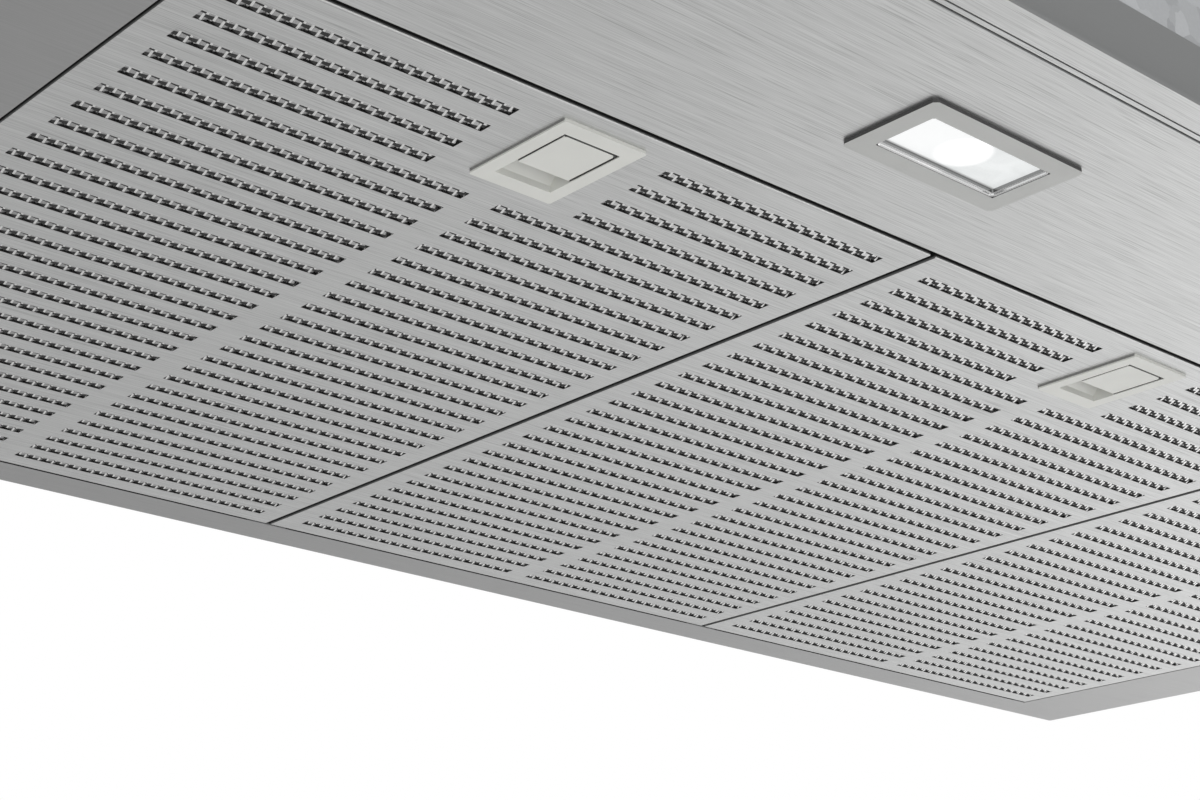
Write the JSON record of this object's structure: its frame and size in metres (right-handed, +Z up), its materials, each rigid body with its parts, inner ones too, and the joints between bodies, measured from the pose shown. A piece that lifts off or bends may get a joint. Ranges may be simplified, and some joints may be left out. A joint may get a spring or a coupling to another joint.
{
  "type": "range hood insert",
  "caption": "Range hood insert for a cabinet: stainless underside with slotted mesh filters that swing down, lamps and push buttons, blower, duct collar with damper flaps and supply box.",
  "frame": {"origin": "centre of the four hanger holes, on the upper face of the housing's top sheet", "axes": "+Z up, out of the top sheet; +X to the right along the width, seen from the front; +Y to the rear"},
  "size_m": [0.891, 0.511, 0.3384],
  "materials": {
    "brushed_stainless": "fine brushed grain along the width",
    "galvanised_sheet": "zinc-coated sheet, faint crystal pattern",
    "expanded_mesh": "bright expanded metal",
    "mesh_backing": "plain mill finish",
    "latch_plastic": "smooth moulded, light warm grey",
    "light_bezel": "fine satin silver paint",
    "frosted_lens": "frosted, lit from behind",
    "lamp_can": "drawn aluminium",
    "circuit_board": "white solder mask",
    "control_plastic": "fine satin moulding",
    "button_plastic": "polished moulding",
    "dark_plastic": "fine moulded texture",
    "zinc_screw": "bright zinc plating",
    "spring_steel": "drawn steel wire and strip",
    "impeller_steel": "pressed zinc-coated sheet",
    "motor_case": "black enamel",
    "terminal_plastic": "ivory moulding",
    "capacitor_plastic": "smooth pale moulding"
  },
  "bodies": {
    "housing": {"underside_frame": "brushed_stainless", "light_panel": "brushed_stainless", "channel_cover": "galvanised_sheet", "light_bezel_left": "light_bezel", "light_lens_left": "frosted_lens", "light_bezel_right": "light_bezel", "light_lens_right": "frosted_lens", "light_cans": "lamp_can", "led_boards": "circuit_board", "control_bezel": "control_plastic", "switch_block": "dark_plastic", "control_module": "dark_plastic", "housing_front": "galvanised_sheet", "housing_rear": "galvanised_sheet", "housing_left": "galvanised_sheet", "housing_right": "galvanised_sheet", "housing_top": "galvanised_sheet", "housing_screws": "zinc_screw", "duct_collar": "galvanised_sheet", "damper_pins": "spring_steel", "blower_scroll": "galvanised_sheet", "blower_brackets": "galvanised_sheet", "motor": "motor_case", "motor_bracket": "galvanised_sheet", "terminal_box": "galvanised_sheet", "terminal_cover": "galvanised_sheet", "terminal_block": "terminal_plastic", "cable_gland": "dark_plastic", "wiring_raceway": "galvanised_sheet", "motor_capacitor": "capacitor_plastic"},
    "filter_left": {"filter_face_left": "brushed_stainless", "filter_mesh_left": "expanded_mesh", "filter_back_left": "mesh_backing", "latch_bezel_left": "latch_plastic", "latch_spring_left": "spring_steel"},
    "flap_left": {"latch_flap_left": "latch_plastic"},
    "bolt_left": {"latch_bolt_left": "latch_plastic"},
    "filter_middle": {"filter_face_middle": "brushed_stainless", "filter_mesh_middle": "expanded_mesh", "filter_back_middle": "mesh_backing", "latch_bezel_middle": "latch_plastic", "latch_spring_middle": "spring_steel"},
    "flap_middle": {"latch_flap_middle": "latch_plastic"},
    "bolt_middle": {"latch_bolt_middle": "latch_plastic"},
    "filter_right": {"filter_face_right": "brushed_stainless", "filter_mesh_right": "expanded_mesh", "filter_back_right": "mesh_backing", "latch_bezel_right": "latch_plastic", "latch_spring_right": "spring_steel"},
    "flap_right": {"latch_flap_right": "latch_plastic"},
    "bolt_right": {"latch_bolt_right": "latch_plastic"},
    "cap_light": {"button_light": "button_plastic"},
    "cap_off": {"button_off": "button_plastic"},
    "cap_low": {"button_low": "button_plastic"},
    "cap_medium": {"button_medium": "button_plastic"},
    "cap_high": {"button_high": "button_plastic"},
    "rotor": {"impeller": "impeller_steel", "motor_shaft": "spring_steel"},
    "damper_left": {"damper_flap_left": "galvanised_sheet"},
    "damper_right": {"damper_flap_right": "galvanised_sheet"}
  },
  "joints": [
    {"name": "filter_left_swing", "type": "hinge", "parent": "housing", "child": "filter_left", "pos_m": [-0.263, 0.2333, -0.2896], "axis": [1, 0, 0], "range_deg": [0, 70]},
    {"name": "filter_middle_swing", "type": "hinge", "parent": "housing", "child": "filter_middle", "pos_m": [0, 0.2333, -0.2896], "axis": [1, 0, 0], "range_deg": [0, 70]},
    {"name": "filter_right_swing", "type": "hinge", "parent": "housing", "child": "filter_right", "pos_m": [0.263, 0.2333, -0.2896], "axis": [1, 0, 0], "range_deg": [0, 70]},
    {"name": "latch_left_pull", "type": "hinge", "parent": "filter_left", "child": "flap_left", "pos_m": [-0.263, -0.12785, -0.28995], "axis": [-1, 0, 0], "range_deg": [0, 35], "stiffness_Nm_per_rad": 0.006, "springref_deg": -20.05},
    {"name": "latch_left_bolt_slide", "type": "slide", "parent": "filter_left", "child": "bolt_left", "axis": [0, 1, 0], "range_m": [0, 0.0035], "deforming": ["latch_spring_left"]},
    {"name": "latch_middle_pull", "type": "hinge", "parent": "filter_middle", "child": "flap_middle", "pos_m": [0, -0.12785, -0.28995], "axis": [-1, 0, 0], "range_deg": [0, 35], "stiffness_Nm_per_rad": 0.006, "springref_deg": -20.05},
    {"name": "latch_middle_bolt_slide", "type": "slide", "parent": "filter_middle", "child": "bolt_middle", "axis": [0, 1, 0], "range_m": [0, 0.0035], "deforming": ["latch_spring_middle"]},
    {"name": "latch_right_pull", "type": "hinge", "parent": "filter_right", "child": "flap_right", "pos_m": [0.263, -0.12785, -0.28995], "axis": [-1, 0, 0], "range_deg": [0, 35], "stiffness_Nm_per_rad": 0.006, "springref_deg": -20.05},
    {"name": "latch_right_bolt_slide", "type": "slide", "parent": "filter_right", "child": "bolt_right", "axis": [0, 1, 0], "range_m": [0, 0.0035], "deforming": ["latch_spring_right"]},
    {"name": "button_light_press", "type": "slide", "parent": "housing", "child": "cap_light", "axis": [0, 0, 1], "range_m": [0, 0.002], "stiffness_N_per_m": 600, "springref_m": -0.0015},
    {"name": "button_off_press", "type": "slide", "parent": "housing", "child": "cap_off", "axis": [0, 0, 1], "range_m": [0, 0.002], "stiffness_N_per_m": 600, "springref_m": -0.0015},
    {"name": "button_low_press", "type": "slide", "parent": "housing", "child": "cap_low", "axis": [0, 0, 1], "range_m": [0, 0.002], "stiffness_N_per_m": 600, "springref_m": -0.0015},
    {"name": "button_medium_press", "type": "slide", "parent": "housing", "child": "cap_medium", "axis": [0, 0, 1], "range_m": [0, 0.002], "stiffness_N_per_m": 600, "springref_m": -0.0015},
    {"name": "button_high_press", "type": "slide", "parent": "housing", "child": "cap_high", "axis": [0, 0, 1], "range_m": [0, 0.002], "stiffness_N_per_m": 600, "springref_m": -0.0015},
    {"name": "impeller_spin", "type": "hinge", "parent": "housing", "child": "rotor", "pos_m": [0, -0.0395, -0.14], "axis": [1, 0, 0], "continuous": true},
    {"name": "damper_left_swing", "type": "hinge", "parent": "housing", "child": "damper_left", "pos_m": [-0.0031, 0.04, 0.0032], "axis": [0, 1, 0], "range_deg": [0, 80]},
    {"name": "damper_right_swing", "type": "hinge", "parent": "housing", "child": "damper_right", "pos_m": [0.0031, 0.04, 0.0032], "axis": [0, -1, 0], "range_deg": [0, 80]}
  ],
  "couplings": [
    {"joint": "latch_left_pull", "follows": "latch_left_bolt_slide", "rad_per_m": 169.5},
    {"joint": "latch_middle_pull", "follows": "latch_middle_bolt_slide", "rad_per_m": 169.5},
    {"joint": "latch_right_pull", "follows": "latch_right_bolt_slide", "rad_per_m": 169.5}
  ]
}
